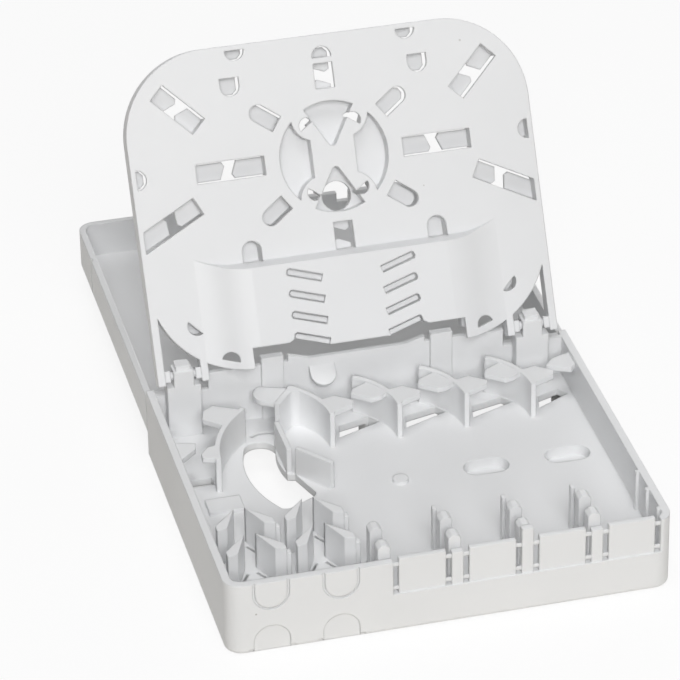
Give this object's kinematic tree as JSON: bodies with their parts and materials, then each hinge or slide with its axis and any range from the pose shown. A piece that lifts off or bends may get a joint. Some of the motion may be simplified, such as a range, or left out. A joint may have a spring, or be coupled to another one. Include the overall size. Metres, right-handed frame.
{
  "type": "fibre termination box",
  "caption": "Shallow rectangular wall box for ending fibre cables, with a hinged cover, a hinged splice tray with a storage hub, cable clamps and break-out adapter ports.",
  "frame": {"origin": "middle of the wall face, the plane of the base's lower edge that lies on the wall", "axes": "+X to the right along the port wall, +Y from the port wall to the cover hinge, +Z out from the wall"},
  "size_m": [0.1, 0.1637, 0.0884],
  "materials": {
    "white_plastic": "satin"
  },
  "bodies": {
    "base": {"base": "white_plastic"},
    "cover": {"cover": "white_plastic"},
    "splice_tray": {"splice_tray": "white_plastic"}
  },
  "joints": [
    {"name": "cover_hinge", "type": "hinge", "parent": "base", "child": "cover", "pos_m": [0, 0.04105, 0.0172], "axis": [1, 0, 0], "range_deg": [0, 180]},
    {"name": "tray_hinge", "type": "hinge", "parent": "base", "child": "splice_tray", "pos_m": [0, 0.0366, 0.0235], "axis": [1, 0, 0], "range_deg": [0, 117.8]}
  ],
  "couplings": [
    {"joint": "tray_hinge", "follows": "cover_hinge", "ratio": 0.6544}
  ]
}
